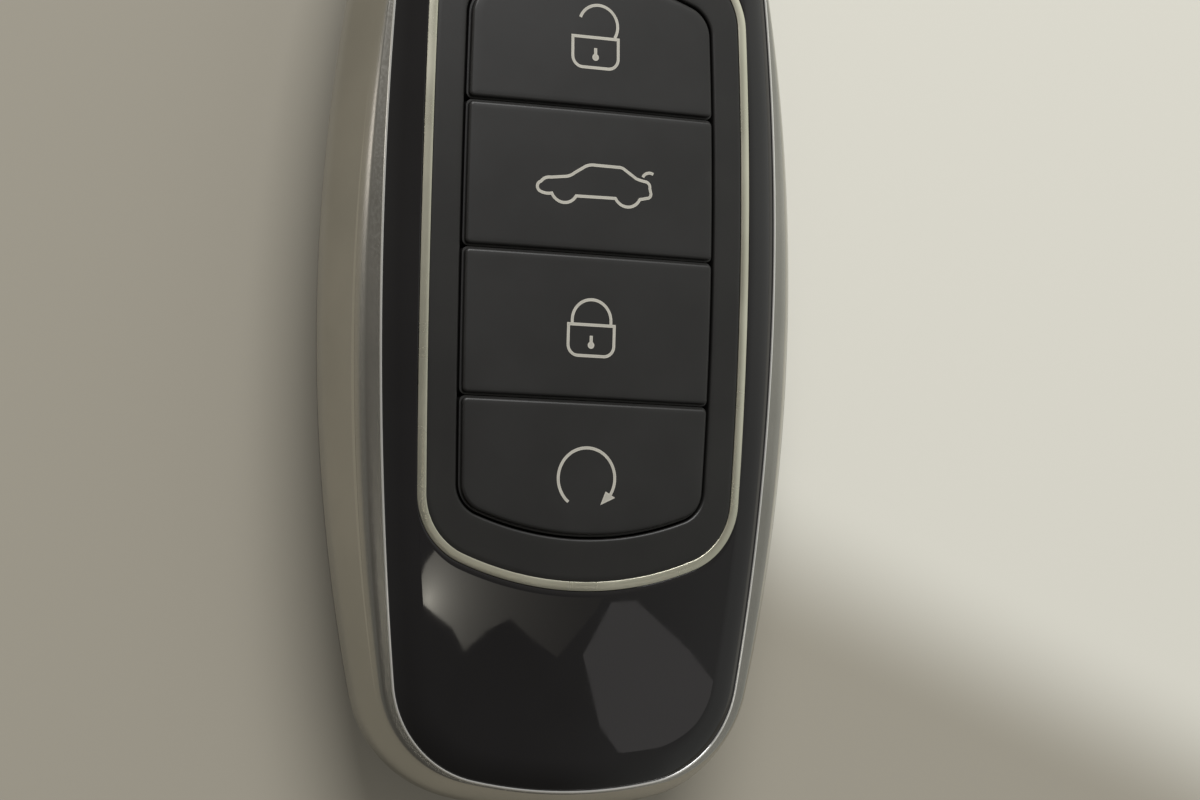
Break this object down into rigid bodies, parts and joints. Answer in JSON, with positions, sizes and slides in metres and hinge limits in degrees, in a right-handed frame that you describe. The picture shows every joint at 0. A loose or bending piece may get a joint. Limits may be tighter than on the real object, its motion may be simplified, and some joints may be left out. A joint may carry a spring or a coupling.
{
  "type": "car key fob",
  "caption": "Car key fob: gloss black face with a bright inset ring round four push buttons, plated side frame, slide-out emergency key with a key ring hole, coin cell door.",
  "frame": {"origin": "middle of the whole fob's footprint, on the rear face that it rests on", "axes": "+Z out of the button face, +Y lengthwise towards the key ring hole, +X to the right when the buttons are seen with the key ring end up"},
  "size_m": [0.04, 0.088, 0.0146],
  "materials": {
    "gloss_black": "polished black moulding, mirror-like",
    "satin_black": "satin black moulding",
    "cap_black": "fine satin black moulding",
    "legend_pale": "pale grey print let into the cap",
    "plated_frame": "satin nickel plating",
    "bright_inlay": "bright plating",
    "rear_black": "fine-grained black moulding",
    "seal_rubber": "black rubber",
    "silicone_grey": "grey silicone",
    "carrier_plastic": "dark grey moulding",
    "board_green": "solder-masked board",
    "switch_black": "black switch housing",
    "chip_black": "moulded chip package",
    "crystal_can": "pressed metal can",
    "capacitor_tan": "ceramic chip",
    "ferrite": "sintered ferrite",
    "copper_wire": "enamelled copper",
    "screw_steel": "zinc-plated steel",
    "cell_steel": "stainless steel can",
    "contact_metal": "spring metal, tinned",
    "blade_steel": "ground steel",
    "release_plastic": "satin black moulding",
    "spring_steel": "spring wire"
  },
  "bodies": {
    "case": {"front_cover": "gloss_black", "side_frame": "plated_frame", "rear_cover": "rear_black", "case_seal": "seal_rubber", "inlay_ring": "bright_inlay", "button_bezel": "satin_black", "keypad_membrane": "silicone_grey", "inner_carrier": "carrier_plastic", "circuit_board": "board_green", "tact_switches": "switch_black", "controller_chip": "chip_black", "radio_chip": "chip_black", "clock_crystal": "crystal_can", "chip_capacitors": "capacitor_tan", "aerial_core": "ferrite", "aerial_winding": "copper_wire", "case_screws": "screw_steel", "coin_cell": "cell_steel", "cell_contact_negative": "contact_metal", "cell_contact_positive": "contact_metal", "release_spring": "spring_steel", "unlock_dome": "silicone_grey", "trunk_dome": "silicone_grey", "lock_dome": "silicone_grey", "start_dome": "silicone_grey"},
    "unlock_cap": {"unlock_button": "cap_black", "unlock_legend": "legend_pale"},
    "trunk_cap": {"trunk_button": "cap_black", "trunk_legend": "legend_pale"},
    "lock_cap": {"lock_button": "cap_black", "lock_legend": "legend_pale"},
    "start_cap": {"start_button": "cap_black", "start_legend": "legend_pale"},
    "cell_hatch": {"cell_door": "rear_black"},
    "emergency_key": {"key_head": "plated_frame", "key_blade": "blade_steel", "blade_pin": "blade_steel"},
    "release_catch": {"key_release": "release_plastic"}
  },
  "joints": [
    {"name": "unlock_press", "type": "slide", "parent": "case", "child": "unlock_cap", "axis": [0, 0, -1], "range_m": [0, 0.00045], "stiffness_N_per_m": 4000, "springref_m": -0.00025, "deforming": ["unlock_dome"]},
    {"name": "trunk_press", "type": "slide", "parent": "case", "child": "trunk_cap", "axis": [0, 0, -1], "range_m": [0, 0.00045], "stiffness_N_per_m": 4000, "springref_m": -0.00025, "deforming": ["trunk_dome"]},
    {"name": "lock_press", "type": "slide", "parent": "case", "child": "lock_cap", "axis": [0, 0, -1], "range_m": [0, 0.00045], "stiffness_N_per_m": 4000, "springref_m": -0.00025, "deforming": ["lock_dome"]},
    {"name": "start_press", "type": "slide", "parent": "case", "child": "start_cap", "axis": [0, 0, -1], "range_m": [0, 0.00045], "stiffness_N_per_m": 4000, "springref_m": -0.00025, "deforming": ["start_dome"]},
    {"name": "release_press", "type": "slide", "parent": "case", "child": "release_catch", "axis": [0, 0, 1], "range_m": [0, 0.0008], "stiffness_N_per_m": 1500, "springref_m": -0.0005, "deforming": ["release_spring"]},
    {"name": "cell_door_lift", "type": "slide", "parent": "case", "child": "cell_hatch", "axis": [0, 0, -1], "range_m": [0, 0.012]},
    {"name": "key_slide", "type": "slide", "parent": "case", "child": "emergency_key", "axis": [0, 1, 0], "range_m": [0, 0.05]}
  ]
}
